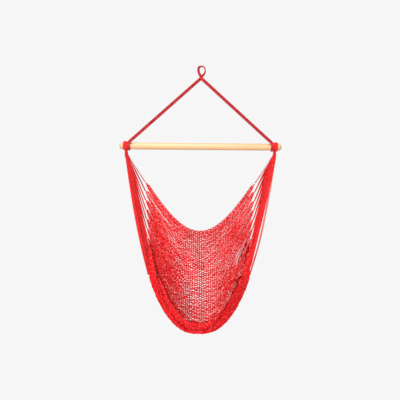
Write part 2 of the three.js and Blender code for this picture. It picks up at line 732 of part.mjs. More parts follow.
// Back edge cord: it lies along the net's upper border, corner for corner
function backCordRoute() {
  const stations = [];
  for (let column = 0; column <= COLUMNS; column += 2) {
    const u = (2 * column) / COLUMNS - 1;
    const { outward, square } = netFrame(u, 0);
    const at = netPoint(u, 0);
    at.addScaledVector(square, -(NET_BORDER / 2 + CLEARANCE + BACK_CORD_DIAMETER / 2));
    stations.push({ at, across: outward, width: BACK_CORD_DIAMETER, thickness: BACK_CORD_DIAMETER });
  }
  const last = stations.length - 1;
  stations[0].at.lerp(stations[1].at, BACK_CORD_END_SHARE);
  stations[last].at.lerp(stations[last - 1].at, BACK_CORD_END_SHARE);
  return stations;
}

addPiece('back_edge_cord', sweep(backCordRoute(), roundOutline(6)), cordRed);

export default chair;
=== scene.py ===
import math
import bmesh
import bpy
import numpy as np
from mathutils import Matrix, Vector


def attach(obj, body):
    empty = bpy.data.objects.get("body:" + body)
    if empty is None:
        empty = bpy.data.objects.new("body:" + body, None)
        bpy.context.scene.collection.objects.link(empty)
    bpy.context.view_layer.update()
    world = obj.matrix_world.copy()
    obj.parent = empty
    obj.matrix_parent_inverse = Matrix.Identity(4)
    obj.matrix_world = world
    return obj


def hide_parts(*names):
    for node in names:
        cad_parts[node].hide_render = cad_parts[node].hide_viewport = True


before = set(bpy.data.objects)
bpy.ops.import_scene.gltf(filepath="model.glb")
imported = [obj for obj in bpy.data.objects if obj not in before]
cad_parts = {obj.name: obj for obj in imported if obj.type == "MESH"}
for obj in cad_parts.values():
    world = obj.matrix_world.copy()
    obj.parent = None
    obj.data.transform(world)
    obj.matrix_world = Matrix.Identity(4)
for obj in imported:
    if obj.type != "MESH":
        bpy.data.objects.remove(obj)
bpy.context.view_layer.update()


# Camera: level with the middle of the chair, about four metres in front of it,
# turned by the small tilt that the bar has in the photograph.
CAMERA_DISTANCE = 4.0
CAMERA_HEIGHT = -0.739
CAMERA_LENS = 64.8
CAMERA_SENSOR = 36
CAMERA_TILT = -0.5

camera_data = bpy.data.cameras.new("camera")
camera_data.lens = CAMERA_LENS
camera_data.sensor_width = CAMERA_SENSOR
camera = bpy.data.objects.new("camera", camera_data)
camera.location = (0, -CAMERA_DISTANCE, CAMERA_HEIGHT)
camera.rotation_euler = (math.radians(90), math.radians(CAMERA_TILT), 0)
bpy.context.scene.collection.objects.link(camera)
bpy.context.scene.camera = camera
bpy.context.scene.view_settings.view_transform = "Standard"


# Light: a soft studio. One broad lamp above and before the chair, one beside the
# camera, a weaker one low on each side, light thrown back by the floor, and an even
# pale surround as the backdrop.
CHAIR_MIDDLE = (0, 0, -0.8)
BENEATH_BAR = (0, 0, -0.6)
BACKDROP_COLOUR = (0.922, 0.922, 0.922, 1)
SURROUND_COLOUR = (0.95, 0.97, 1.0, 1)
SURROUND_STRENGTH = 0.35


def add_lamp(name, place, aim, size, power):
    lamp = bpy.data.lights.new(name, "AREA")
    lamp.shape = "DISK"
    lamp.size = size
    lamp.energy = power
    holder = bpy.data.objects.new(name, lamp)
    holder.location = place
    holder.rotation_euler = (Vector(aim) - Vector(place)).to_track_quat("-Z", "Y").to_euler()
    bpy.context.scene.collection.objects.link(holder)


add_lamp("overhead lamp", (-0.3, -1.8, 2.2), CHAIR_MIDDLE, size=1.6, power=95)
add_lamp("front lamp", (-0.9, -3.6, 0.5), CHAIR_MIDDLE, size=1.0, power=75)
add_lamp("left lamp", (-2.6, -2.4, -0.2), CHAIR_MIDDLE, size=1.4, power=38)
add_lamp("right lamp", (2.6, -2.4, -0.4), CHAIR_MIDDLE, size=1.4, power=16)
add_lamp("floor bounce", (0.2, -1.6, -2.9), BENEATH_BAR, size=1.8, power=36)

surround = bpy.data.worlds.new("surround")
surround.use_nodes = True
bpy.context.scene.world = surround
tree = surround.node_tree
tree.nodes.clear()
seen = tree.nodes.new("ShaderNodeBackground")
seen.inputs["Color"].default_value = BACKDROP_COLOUR
lit = tree.nodes.new("ShaderNodeBackground")
lit.inputs["Color"].default_value = SURROUND_COLOUR
lit.inputs["Strength"].default_value = SURROUND_STRENGTH
path = tree.nodes.new("ShaderNodeLightPath")
choose = tree.nodes.new("ShaderNodeMixShader")
out = tree.nodes.new("ShaderNodeOutputWorld")
tree.links.new(path.outputs["Is Camera Ray"], choose.inputs[0])
tree.links.new(lit.outputs[0], choose.inputs[1])
tree.links.new(seen.outputs[0], choose.inputs[2])
tree.links.new(choose.outputs[0], out.inputs["Surface"])


# Spun cotton: the yarn that every red piece is laid or knitted from. Fine fibres and slow patches of
# colour are worked out once here, and each piece's material uses them. The patches are partly dye
# that differs at random and partly painted light: the deeper patches stand for shade between the
# threads, and the lighter ones turn paler as painted highlights.
FIBRE_SHADES = (0.88, 1.08)
FIBRE_ROUGHNESS = (0.66, 0.9)
# Painted highlight: how much of its colour's strength a lighter patch loses.
HIGHLIGHT_PALENESS = -0.22
SHEEN_COLOUR = (1, 0.25, 0.22, 1)
COTTON_SHINE = 0.09
# Painted shade in the grooves between the plies: the colour in a groove against that on a ply.
PLY_PAINTED_SHADES = (0.62, 1.04)
PLY_GROOVE = 0.3


def set_range(node, seen, given):
    """Turns what lies between the two values seen into what lies between the two given."""
    node.inputs["From Min"].default_value, node.inputs["From Max"].default_value = seen
    node.inputs["To Min"].default_value, node.inputs["To Max"].default_value = given


def add_sum(nodes, operation, second=None, third=None):
    """A node that works out one sum. Its second and third values may be fixed."""
    node = nodes.new("ShaderNodeMath")
    node.operation = operation
    for number, value in ((1, second), (2, third)):
        if value is not None:
            node.inputs[number].default_value = value
    return node


cotton = bpy.data.node_groups.new("Spun cotton", "ShaderNodeTree")
for socket, way, kind in (
    ("Colour", "INPUT", "Color"), ("Patch size", "INPUT", "Float"),
    ("Patch depth", "INPUT", "Float"), ("Fibre size", "INPUT", "Float"),
    ("Colour", "OUTPUT", "Color"), ("Roughness", "OUTPUT", "Float"), ("Height", "OUTPUT", "Float"),
):
    cotton.interface.new_socket(socket, in_out=way, socket_type=f"NodeSocket{kind}")
entry = cotton.nodes.new("NodeGroupInput")
leave = cotton.nodes.new("NodeGroupOutput")
place = cotton.nodes.new("ShaderNodeTexCoord")
fibres = cotton.nodes.new("ShaderNodeTexNoise")
patches = cotton.nodes.new("ShaderNodeTexNoise")
for noise, size in ((fibres, "Fibre size"), (patches, "Patch size")):
    noise.inputs["Detail"].default_value = 3
    cotton.links.new(place.outputs["Object"], noise.inputs["Vector"])
    cotton.links.new(entry.outputs[size], noise.inputs["Scale"])
centred = add_sum(cotton.nodes, "SUBTRACT", 0.5)
lift = add_sum(cotton.nodes, "MULTIPLY")
dye = add_sum(cotton.nodes, "ADD", 1)
raised_part = add_sum(cotton.nodes, "MAXIMUM", 0)
# The lighter patches lose saturation here, as painted highlights.
highlight_paleness = add_sum(cotton.nodes, "MULTIPLY_ADD", HIGHLIGHT_PALENESS, 1)
fuzz = cotton.nodes.new("ShaderNodeMapRange")
set_range(fuzz, (0.3, 0.7), FIBRE_SHADES)
both = add_sum(cotton.nodes, "MULTIPLY")
tint = cotton.nodes.new("ShaderNodeHueSaturation")
dullness = cotton.nodes.new("ShaderNodeMapRange")
set_range(dullness, (0, 1), FIBRE_ROUGHNESS)
cotton.links.new(patches.outputs["Fac"], centred.inputs[0])
cotton.links.new(centred.outputs[0], lift.inputs[0])
cotton.links.new(entry.outputs["Patch depth"], lift.inputs[1])
cotton.links.new(lift.outputs[0], dye.inputs[0])
cotton.links.new(lift.outputs[0], raised_part.inputs[0])
cotton.links.new(raised_part.outputs[0], highlight_paleness.inputs[0])
cotton.links.new(highlight_paleness.outputs[0], tint.inputs["Saturation"])
cotton.links.new(fibres.outputs["Fac"], fuzz.inputs["Value"])
cotton.links.new(dye.outputs[0], both.inputs[0])
cotton.links.new(fuzz.outputs["Result"], both.inputs[1])
cotton.links.new(entry.outputs["Colour"], tint.inputs["Color"])
cotton.links.new(both.outputs[0], tint.inputs["Value"])
cotton.links.new(tint.outputs["Color"], leave.inputs["Colour"])
cotton.links.new(fibres.outputs["Fac"], dullness.inputs["Value"])
cotton.links.new(dullness.outputs["Result"], leave.inputs["Roughness"])
cotton.links.new(fibres.outputs["Fac"], leave.inputs["Height"])


def cotton_finish(name, colour, patch_size, patch_depth, fibre_size, sheen, depth):
    finish = bpy.data.materials.new(name)
    finish.use_nodes = True
    nodes, links = finish.node_tree.nodes, finish.node_tree.links
    shader = nodes["Principled BSDF"]
    shader.inputs["Sheen Weight"].default_value = sheen
    shader.inputs["Sheen Roughness"].default_value = 0.5
    shader.inputs["Sheen Tint"].default_value = SHEEN_COLOUR
    shader.inputs["Specular IOR Level"].default_value = COTTON_SHINE
    yarn = nodes.new("ShaderNodeGroup")
    yarn.node_tree = cotton
    yarn.inputs["Colour"].default_value = (*colour, 1)
    yarn.inputs["Patch size"].default_value = patch_size
    yarn.inputs["Patch depth"].default_value = patch_depth
    yarn.inputs["Fibre size"].default_value = fibre_size
    bump = nodes.new("ShaderNodeBump")
    bump.inputs["Strength"].default_value = 0.5
    bump.inputs["Distance"].default_value = depth
    links.new(yarn.outputs["Colour"], shader.inputs["Base Color"])
    links.new(yarn.outputs["Roughness"], shader.inputs["Roughness"])
    links.new(yarn.outputs["Height"], bump.inputs["Height"])
    links.new(bump.outputs["Normal"], shader.inputs["Normal"])
    return finish


def shade_colour(finish, value):
    """Multiplies the colour of a finish by the value that comes out of a node."""
    nodes, links = finish.node_tree.nodes, finish.node_tree.links
    shader = nodes["Principled BSDF"]
    shade = nodes.new("ShaderNodeHueSaturation")
    links.new(shader.inputs["Base Color"].links[0].from_socket, shade.inputs["Color"])
    links.new(value, shade.inputs["Value"])
    links.new(shade.outputs["Color"], shader.inputs["Base Color"])


def show_plies(finish, turns, depth):
    """Winds three plies round each cord of a piece: turns along its whole length. The grooves
    between them are painted darker, as painted shade, and the same pattern raises a bump.
    """
    nodes, links = finish.node_tree.nodes, finish.node_tree.links
    place = nodes.new("ShaderNodeUVMap")
    split = nodes.new("ShaderNodeSeparateXYZ")
    wind = add_sum(nodes, "MULTIPLY_ADD", turns)
    wave = add_sum(nodes, "PINGPONG", 0.5)
    groove_shade_and_bump = nodes.new("ShaderNodeMapRange")
    set_range(groove_shade_and_bump, (0, PLY_GROOVE), PLY_PAINTED_SHADES)
    links.new(place.outputs["UV"], split.inputs["Vector"])
    links.new(split.outputs["X"], wind.inputs[0])
    links.new(split.outputs["Y"], wind.inputs[2])
    links.new(wind.outputs[0], wave.inputs[0])
    links.new(wave.outputs[0], groove_shade_and_bump.inputs["Value"])
    # Painted shade: the grooves darken the colour.
    shade_colour(finish, groove_shade_and_bump.outputs["Result"])
    raised = nodes.new("ShaderNodeBump")
    raised.inputs["Strength"].default_value = 0.8
    raised.inputs["Distance"].default_value = depth
    links.new(groove_shade_and_bump.outputs["Result"], raised.inputs["Height"])
    links.new(raised.outputs["Normal"], nodes["Bump"].inputs["Normal"])


def paint_light_along(finish, axis, places, values):
    """Painted light and shade: the colour grows lighter or darker from one place along an axis to
    another.
    """
    nodes, links = finish.node_tree.nodes, finish.node_tree.links
    place = nodes.new("ShaderNodeTexCoord")
    split = nodes.new("ShaderNodeSeparateXYZ")
    change = nodes.new("ShaderNodeMapRange")
    change.interpolation_type = "SMOOTHSTEP"
    set_range(change, places, values)
    links.new(place.outputs["Object"], split.inputs["Vector"])
    links.new(split.outputs[axis], change.inputs["Value"])
    shade_colour(finish, change.outputs["Result"])


# Laying cord: a line smoothed through its places, measured along its length, and
# plies wound round it. Every rope, thread and string of the chair is laid this way.
LINE_STEPS = 24


def smooth_line(places, steps=LINE_STEPS):
    places = [np.array(p, float) for p in places]
    ends = [2 * places[0] - places[1], *places, 2 * places[-1] - places[-2]]
    line = []
    for a, b, c, d in zip(ends, ends[1:], ends[2:], ends[3:]):
        ab, bc, cd = (math.sqrt(np.linalg.norm(q - p)) for p, q in ((a, b), (b, c), (c, d)))
        leave_b = ((b - a) / ab - (c - a) / (ab + bc) + (c - b) / bc) * bc
        reach_c = ((c - b) / bc - (d - b) / (bc + cd) + (d - c) / cd) * bc
        t = np.arange(steps)[:, None] / steps
        line.append(
            (2 * t**3 - 3 * t**2 + 1) * b + (t**3 - 2 * t**2 + t) * leave_b
            + (3 * t**2 - 2 * t**3) * c + (t**3 - t**2) * reach_c
        )
    return np.vstack([*line, places[-1]])


def spread_values(values, every, count):
    """Values for the points of a line, from those given at every so many points."""
    return np.interp(np.arange(count) / every, range(len(values)), values)


def ramp(values, start, width):
    """Rises from 0 at the start to 1 where the width ends."""
    return np.clip((values - start) / width, 0, 1)


def run_along(line):
    return np.concatenate([[0], np.cumsum(np.linalg.norm(np.diff(line, axis=0), axis=1))])


def share_out(line, shares):
    run = run_along(line)
    at = np.asarray(shares) * run[-1]
    return np.stack([np.interp(at, run, line[:, k]) for k in range(line.shape[1])], axis=1)


def even_steps(line, step):
    return share_out(line, np.linspace(0, 1, int(run_along(line)[-1] / step)))


def unit(rows):
    return rows / np.maximum(np.linalg.norm(rows, axis=-1, keepdims=True), 1e-12)


def new_cord(name, radius, sides_each_quarter=1):
    data = bpy.data.curves.new(name, "CURVE")
    data.dimensions = "3D"
    data.bevel_depth = radius
    data.bevel_resolution = sides_each_quarter
    data.use_fill_caps = True
    piece = bpy.data.objects.new(name, data)
    bpy.context.scene.collection.objects.link(piece)
    return piece


def add_strand(piece, line, sizes=None):
    strand = piece.data.splines.new("POLY")
    strand.points.add(len(line) - 1)
    strand.points.foreach_set("co", np.hstack([line, np.ones((len(line), 1))]).ravel())
    if sizes is not None:
        strand.points.foreach_set("radius", np.asarray(sizes, float))


def lay_plies(piece, line, across, plies, lay_radius, pitch, start=0.0):
    along = unit(np.gradient(line, axis=0))
    across = np.broadcast_to(across, line.shape)
    across = unit(across - along * (along * across).sum(1, keepdims=True))
    other = np.cross(along, across)
    for ply in range(plies):
        turn = 2 * math.pi * (run_along(line) / pitch + ply / plies) + start
        offset = np.cos(turn)[:, None] * across + np.sin(turn)[:, None] * other
        add_strand(piece, line + lay_radius * offset)


def finish_piece(piece, finish, body, slot, *nodes):
    piece.data.materials.append(finish)
    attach(piece, body)
    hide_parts(*nodes)
    return piece


# Hanging eye: the top of the doubled suspension cord. Two laid cords side by side
# go up, round the hook and down again, broad on the left and edge on at the right.
ROPE_WIDTH = 0.0165
ROPE_THICKNESS = 0.0068
LAYER = ROPE_THICKNESS / 2 + 0.00015
THROAT_TOP, THROAT_END = -0.058, -0.0665
CORD_SPREAD = 0.0046
PLY_RADIUS = 0.0023
PLY_LAY_RADIUS = 0.0023
PLY_COUNT = 4
PLY_PITCH = 0.024
EYE_HALF_WIDTH = 0.026
EYE_HEIGHT = 0.052
EYE_PLY_SHARE = 0.74
EYE_SPREAD_SHARE = 0.88

rope_finish = cotton_finish(
    "rope cotton", (0.37, 0.022, 0.024),
    patch_size=90, patch_depth=1, fibre_size=900, sheen=0.1, depth=0.0005,
)
# Painted light: below the bar's top the rope's colour is made 1.4 times lighter, to lift the hitches
# out of the shade they lie in on the bar. The back cord, which hangs lower, is made lighter in the
# same way.
paint_light_along(rope_finish, "Z", places=(-0.43, -0.41), values=(1.4, 1))

# Each row: how far across, in which layer, how far down, and how far turned edge on
eye_shares = [
    (-0.13, -1, -1.02, 0), (-0.4, -0.8, -0.77, 0), (-0.56, -0.3, -0.46, 0.1),
    (-0.46, 0, -0.12, 0.5), (0.08, 0, 0, 1), (0.65, 0, -0.1, 1), (0.86, 0.3, -0.42, 1),
    (0.7, 0.8, -0.77, 0.6), (0.22, 1, -1.04, 0.1),
]
eye_places = [(0, -LAYER, THROAT_END), (0, -LAYER, THROAT_TOP)]
eye_places += [
    (x * EYE_HALF_WIDTH, layer * LAYER, z * EYE_HEIGHT + ROPE_THICKNESS / 2)
    for x, layer, z, _ in eye_shares
]
eye_places += [(0, LAYER, THROAT_TOP), (0, LAYER, THROAT_END)]
rolls = [0, 0] + [row[3] for row in eye_shares] + [0, 0]
eye_line = smooth_line(eye_places)
eye_roll = spread_values(rolls, LINE_STEPS, len(eye_line)) * math.pi / 2
forward = np.array([0.0, 1.0, 0.0])
eye_along = unit(np.gradient(eye_line, axis=0))
in_plane = unit(np.cross(forward, eye_along))
eye_across = np.cos(eye_roll)[:, None] * in_plane + np.sin(eye_roll)[:, None] * forward

eye = new_cord("eye_cords", PLY_RADIUS * EYE_PLY_SHARE)
for side in (-1, 1):
    cord = eye_line + side * CORD_SPREAD * eye_across * EYE_SPREAD_SHARE
    lay_plies(eye, cord, eye_across, PLY_COUNT, PLY_LAY_RADIUS * EYE_PLY_SHARE, PLY_PITCH)
    add_strand(eye, cord)
add_strand(eye, eye_line)
finish_piece(eye, rope_finish, "hanging_eye", "cord", "hanging_eye")


# Throat whipping: waxed thread of two plies, wound six times round the crossing of
# the eye's two sides. The neck whippings below the bar are wound in the same way.
THREAD_RADIUS = 0.00065
THREAD_LAY_RADIUS = 0.00035
THREAD_PITCH = 0.006
WHIPPING_TURNS = 6
WHIPPING_STEPS = 40
WHIPPING_SQUARENESS = 0.7

thread_finish = cotton_finish(
    "whipping thread", (0.6, 0.022, 0.022),
    patch_size=90, patch_depth=0.7, fibre_size=1500, sheen=0.1, depth=0.0003,
)


def add_whipping(name, centre, half_x, half_y, pitch, body, node):
    count = WHIPPING_TURNS * WHIPPING_STEPS
    turn = 2 * math.pi * np.arange(count + 1) / WHIPPING_STEPS
    bend = np.stack([np.cos(turn), np.sin(turn)], axis=1)
    bend = np.sign(bend) * np.abs(bend) ** WHIPPING_SQUARENESS
    line = np.stack([
        centre[0] + half_x * bend[:, 0],
        centre[1] + half_y * bend[:, 1],
        centre[2] + pitch * WHIPPING_TURNS * (0.5 - np.arange(count + 1) / count),
    ], axis=1)
    piece = new_cord(name, THREAD_RADIUS)
    lay_plies(piece, line, (0, 0, 1), 2, THREAD_LAY_RADIUS, THREAD_PITCH)
    return finish_piece(piece, thread_finish, body, "thread", node)


add_whipping("throat_thread", (0, 0, (THROAT_TOP + THROAT_END) / 2),
             half_x=0.0096, half_y=0.0088, pitch=0.0015,
             body="hanging_eye", node="throat_whipping")


# Suspension ropes: from the throat out to the bar, once round it, and the end
# tucked behind the standing part. The left one lies behind the right one at the throat.
BAR_Z = -0.442
GROOVE_RADIUS = 0.0175
HITCH_X = 0.398
HITCH_GAP = 0.0004
HITCH_END = 323
ROPE_TOP_Z = -0.062
ROPE_FOOT_X = HITCH_X - 0.006
ROPE_FOOT_Z = BAR_Z + 0.023
ROPE_STEP = 0.002
wrap_radius = GROOVE_RADIUS + ROPE_THICKNESS / 2 + HITCH_GAP

for side, hand in ((-1, "left"), (1, "right")):
    top_y = -side * LAYER
    places = []
    for share in (0, 0.06, 0.2, 0.4, 0.6, 0.8, 0.92):
        places.append((
            side * share * ROPE_FOOT_X,
            top_y + share * (-wrap_radius - top_y),
            ROPE_TOP_Z + share * (ROPE_FOOT_Z - ROPE_TOP_Z),
        ))
    places += [
        (side * (HITCH_X - 0.004), -wrap_radius, BAR_Z + 0.02),
        (side * HITCH_X, -wrap_radius, BAR_Z + 0.008),
    ]
    for turn in np.radians(np.arange(0, HITCH_END, 18)):
        places.append((
            side * HITCH_X,
            -wrap_radius * math.cos(turn),
            BAR_Z - wrap_radius * math.sin(turn),
        ))
    line = even_steps(smooth_line(places), ROPE_STEP)
    along = unit(np.gradient(line, axis=0))
    across = unit(np.cross(forward, along))
    on_bar = np.maximum.accumulate(line[:, 2] < BAR_Z + 0.0001)[:, None]
    across = np.where(on_bar, np.array([-1.0, 0, 0]), across)
    # The direction across the pair of cords never turns over along the rope
    across = unit(across * np.sign((across @ np.array([1.0, 0, 0.6])) + 1e-9)[:, None])
    rope = new_cord(f"suspension_cords_{hand}", PLY_RADIUS)
    for way in (-1, 1):
        cord = line + way * CORD_SPREAD * across
        lay_plies(rope, cord, across, PLY_COUNT, PLY_LAY_RADIUS, PLY_PITCH, start=way)
        add_strand(rope, cord)
    add_strand(rope, line)
    finish_piece(rope, rope_finish, "suspension", "cord", f"suspension_rope_{hand}")


# Spreader bar: a dowel turned on a lathe, with a domed end, a softened shoulder and
# a shallow groove for the hitches. Pale beech, sanded and oiled.
BAR_RADIUS = 0.019
BAR_END = 0.45
DOME_START = 0.435
DOME_DEPTH = 0.015
DOME_STEPS = 8
BAR_SIDES = 72
GROOVE_INNER, GROOVE_OUTER = 0.379, 0.427
SHOULDER_RADIUS = 0.0178
SHOULDER_RUN, SLOPE_RUN = 0.0025, 0.0065
WOOD_DARK = (0.68, 0.392, 0.19, 1)
WOOD_LIGHT = (0.75, 0.458, 0.242, 1)

half = [(0, BAR_END)]
for step in range(1, DOME_STEPS + 1):
    turn = math.radians(90 * step / DOME_STEPS)
    half.append((BAR_RADIUS * math.sin(turn), DOME_START + DOME_DEPTH * math.cos(turn)))
half += [
    (BAR_RADIUS, GROOVE_OUTER + SLOPE_RUN), (SHOULDER_RADIUS, GROOVE_OUTER + SHOULDER_RUN),
    (GROOVE_RADIUS, GROOVE_OUTER), (GROOVE_RADIUS, GROOVE_INNER),
    (SHOULDER_RADIUS, GROOVE_INNER - SHOULDER_RUN), (BAR_RADIUS, GROOVE_INNER - SLOPE_RUN),
]
outline = [(x, r) for r, x in half] + [(-x, r) for r, x in reversed(half)]
shape = bmesh.new()
corners = [shape.verts.new((x, 0, r)) for x, r in outline]
for a, b in zip(corners, corners[1:]):
    shape.edges.new((a, b))
bmesh.ops.spin(shape, geom=shape.verts[:] + shape.edges[:], axis=(1, 0, 0), cent=(0, 0, 0),
               dvec=(0, 0, 0), angle=2 * math.pi, steps=BAR_SIDES, use_merge=True)
bmesh.ops.remove_doubles(shape, verts=shape.verts, dist=0.00001)
bmesh.ops.recalc_face_normals(shape, faces=shape.faces)
bmesh.ops.translate(shape, verts=shape.verts, vec=(0, 0, BAR_Z))
# The spin gives its faces in no fixed order, so they are put in one here
shape.verts.index_update()
shape.faces.sort(key=lambda face: sum(corner.index**3 for corner in face.verts))
bar_mesh = bpy.data.meshes.new("turned_bar")
shape.to_mesh(bar_mesh)
shape.free()
for polygon in bar_mesh.polygons:
    polygon.use_smooth = True
bar = bpy.data.objects.new("turned_bar", bar_mesh)
bpy.context.scene.collection.objects.link(bar)

beech = bpy.data.materials.new("oiled beech")
beech.use_nodes = True
nodes, links = beech.node_tree.nodes, beech.node_tree.links
shader = nodes["Principled BSDF"]
place = nodes.new("ShaderNodeTexCoord")
stretch = nodes.new("ShaderNodeMapping")
stretch.inputs["Scale"].default_value = (3, 60, 60)
links.new(place.outputs["Object"], stretch.inputs["Vector"])
grain = nodes.new("ShaderNodeTexNoise")
grain.inputs["Scale"].default_value = 1.6
grain.inputs["Detail"].default_value = 6
grain.inputs["Distortion"].default_value = 0.4
links.new(stretch.outputs["Vector"], grain.inputs["Vector"])
wood_colours = nodes.new("ShaderNodeValToRGB")
wood_colours.color_ramp.elements[0].position = 0.3
wood_colours.color_ramp.elements[0].color = WOOD_DARK
wood_colours.color_ramp.elements[1].position = 0.72
wood_colours.color_ramp.elements[1].color = WOOD_LIGHT
links.new(grain.outputs["Fac"], wood_colours.inputs["Fac"])
pores_stretch = nodes.new("ShaderNodeMapping")
pores_stretch.inputs["Scale"].default_value = (60, 900, 900)
links.new(place.outputs["Object"], pores_stretch.inputs["Vector"])
pores = nodes.new("ShaderNodeTexNoise")
pores.inputs["Scale"].default_value = 1
pores.inputs["Detail"].default_value = 3
links.new(pores_stretch.outputs["Vector"], pores.inputs["Vector"])
flecks = nodes.new("ShaderNodeMapRange")
set_range(flecks, (0.3, 0.62), (0.93, 1.03))
links.new(pores.outputs["Fac"], flecks.inputs["Value"])
links.new(wood_colours.outputs["Color"], shader.inputs["Base Color"])
shade_colour(beech, flecks.outputs["Result"])
polish = nodes.new("ShaderNodeMapRange")
set_range(polish, (0, 1), (0.36, 0.5))
links.new(grain.outputs["Fac"], polish.inputs["Value"])
links.new(polish.outputs["Result"], shader.inputs["Roughness"])
relief = nodes.new("ShaderNodeBump")
relief.inputs["Strength"].default_value = 0.25
relief.inputs["Distance"].default_value = 0.0003
links.new(pores.outputs["Fac"], relief.inputs["Height"])
links.new(relief.outputs["Normal"], shader.inputs["Normal"])
finish_piece(bar, beech, "spreader_bar", "wood", "spreader_bar")


# Seat eyes: the gathered strings of each side, laid as one flat bundle over the bar
# outboard of the hitch, wide on the wood and drawn together at the neck below it.
NECK_X = 0.4115
NECK_TOP, NECK_BOTTOM = -0.030, -0.038
NECK_LAYER = 0.00315
NECK_HALF_WIDTH, NECK_HALF_DEPTH = 0.0075, 0.003
SEAT_EYE_X = HITCH_X + ROPE_WIDTH / 2 + 0.0117
SEAT_EYE_HALF_WIDTH, SEAT_EYE_HALF_DEPTH = 0.011, 0.0052
SEAT_EYE_STEPS = 6
FALL_STEPS = 4
BUNDLE_YARN_RADIUS = 0.0019
BUNDLE_SPACING = 2.95
BUNDLE_WANDER = 0.03
BUNDLE_ROWS = ((-1, 5), (0, 7), (1, 7))

string_finishes = [
    cotton_finish(
        f"string cotton, {lot} lot", (red, 0.016, 0.018),
        patch_size=150, patch_depth=1.2, fibre_size=1100, sheen=0.1, depth=0.0004,
    )
    for lot, red in (("first", 0.62), ("dark", 0.52), ("bright", 0.72))
]

chance = np.random.default_rng(7)
for side, hand in ((-1, "left"), (1, "right")):
    radius = GROOVE_RADIUS + SEAT_EYE_HALF_DEPTH
    lean = math.atan2(NECK_LAYER, -NECK_TOP)
    contact = math.acos(radius / math.hypot(NECK_LAYER, NECK_TOP)) + lean
    reach, fall = radius * math.sin(contact), radius * math.cos(contact)
    route, gather = [(NECK_X, -NECK_LAYER, NECK_BOTTOM)], [0]
    for step in range(FALL_STEPS):
        share = step / FALL_STEPS
        route.append((
            NECK_X + share * (SEAT_EYE_X - NECK_X),
            -NECK_LAYER - share * (reach - NECK_LAYER),
            NECK_TOP - share * (fall + NECK_TOP),
        ))
        gather.append(share)
    for turn in np.linspace(contact, math.pi, 9)[:-1]:
        route.append((SEAT_EYE_X, -radius * math.sin(turn), -radius * math.cos(turn)))
        gather.append(1)
    route.append((SEAT_EYE_X, 0, radius))
    gather.append(1)
    route += [(x, -y, z) for x, y, z in reversed(route[:-1])]
    gather += list(reversed(gather[:-1]))
    line = smooth_line([(side * x, y, BAR_Z + z) for x, y, z in route], SEAT_EYE_STEPS)
    open_share = spread_values(gather, SEAT_EYE_STEPS, len(line))
    along = unit(np.gradient(line, axis=0))
    across = unit(np.array([1.0, 0, 0]) - along * along[:, :1])
    normal = np.cross(along, across)
    width = NECK_HALF_WIDTH + (SEAT_EYE_HALF_WIDTH - NECK_HALF_WIDTH) * open_share
    depth = NECK_HALF_DEPTH + (SEAT_EYE_HALF_DEPTH - NECK_HALF_DEPTH) * open_share
    width, depth = width - BUNDLE_YARN_RADIUS, 0.95 * (depth - BUNDLE_YARN_RADIUS)
    bundle = new_cord(f"seat_eye_strings_{hand}", BUNDLE_YARN_RADIUS)
    for layer, count in BUNDLE_ROWS:
        for number in range(count):
            spot = (number - (count - 1) / 2) / BUNDLE_SPACING
            sway = BUNDLE_WANDER * np.sin(np.linspace(0, 5, len(line)) + chance.uniform(0, 6))
            offset = across * (width * (spot + sway))[:, None]
            offset = offset + normal * (depth * layer)[:, None]
            add_strand(bundle, line + offset, 0.8 + 0.2 * open_share)
    finish_piece(bundle, string_finishes[2], "seat", "cord", f"seat_eye_{hand}")
    add_whipping(f"neck_thread_{hand}", (side * NECK_X, 0, BAR_Z + NECK_BOTTOM),
                 half_x=0.0084, half_y=0.0074, pitch=0.0016,
                 body="seat", node=f"neck_whipping_{hand}")


# Seat net: how the knitted cloth hangs. Its side edges and middle line are smooth
# lines, and each row sags between them: straight near the back, a round bag in front.
BACK_CORNER_X, BACK_CORNER_Y, BACK_CORNER_DROP = 0.302, 0.092, 0.203
SIDE_INWARD, SIDE_FORWARD, SIDE_FALL = 0.034, 0.14, 0.513
POUCH_BACK_Y, POUCH_FRONT_Y = 0.154, 0.057
MIDDLE_DROP, MIDDLE_FALL = 0.480, 0.545
ROW_COUNT = 240
POINT_COUNT = 400
ROW_TENSION = 0.9

corner_shares = [(0, 0, 0), (0.1, 0.2, 0.24), (0.32, 0.44, 0.5), (0.68, 0.72, 0.76), (1, 1, 1)]
side_edge = smooth_line([
    (BACK_CORNER_X - SIDE_INWARD * x, BACK_CORNER_Y - SIDE_FORWARD * y,
     BAR_Z - BACK_CORNER_DROP - SIDE_FALL * z) for x, y, z in corner_shares
])
middle_shares = [(POUCH_BACK_Y * y, z) for y, z in
                 ((0.68, 0), (0.94, 0.22), (1, 0.46), (0.8, 0.7), (0.36, 0.88))]
middle_shares += [(-POUCH_FRONT_Y * y, z) for y, z in ((0.2, 0.975), (0.68, 1), (1, 0.985))]
middle_line = smooth_line([
    (0, y, BAR_Z - MIDDLE_DROP - MIDDLE_FALL * z) for y, z in middle_shares
])


def hanging_row(v):
    side = share_out(side_edge, [v])[0]
    middle = share_out(middle_line, [v])[0]
    t = np.linspace(-1, 1, POINT_COUNT + 1)
    reach = np.abs(t)
    taut = np.sqrt(1 + (reach / ROW_TENSION) ** 2) - 1
    taut /= math.sqrt(1 + (1 / ROW_TENSION) ** 2) - 1
    rise = taut + (reach**2.5 - taut) * v
    return np.stack([
        t * side[0],
        middle[1] + (side[1] - middle[1]) * reach**2,
        middle[2] + (side[2] - middle[2]) * rise,
    ], axis=1)


net_rows = np.stack([
    share_out(hanging_row(v), np.linspace(0, 1, POINT_COUNT + 1))
    for v in np.linspace(0, 1, ROW_COUNT + 1)
])


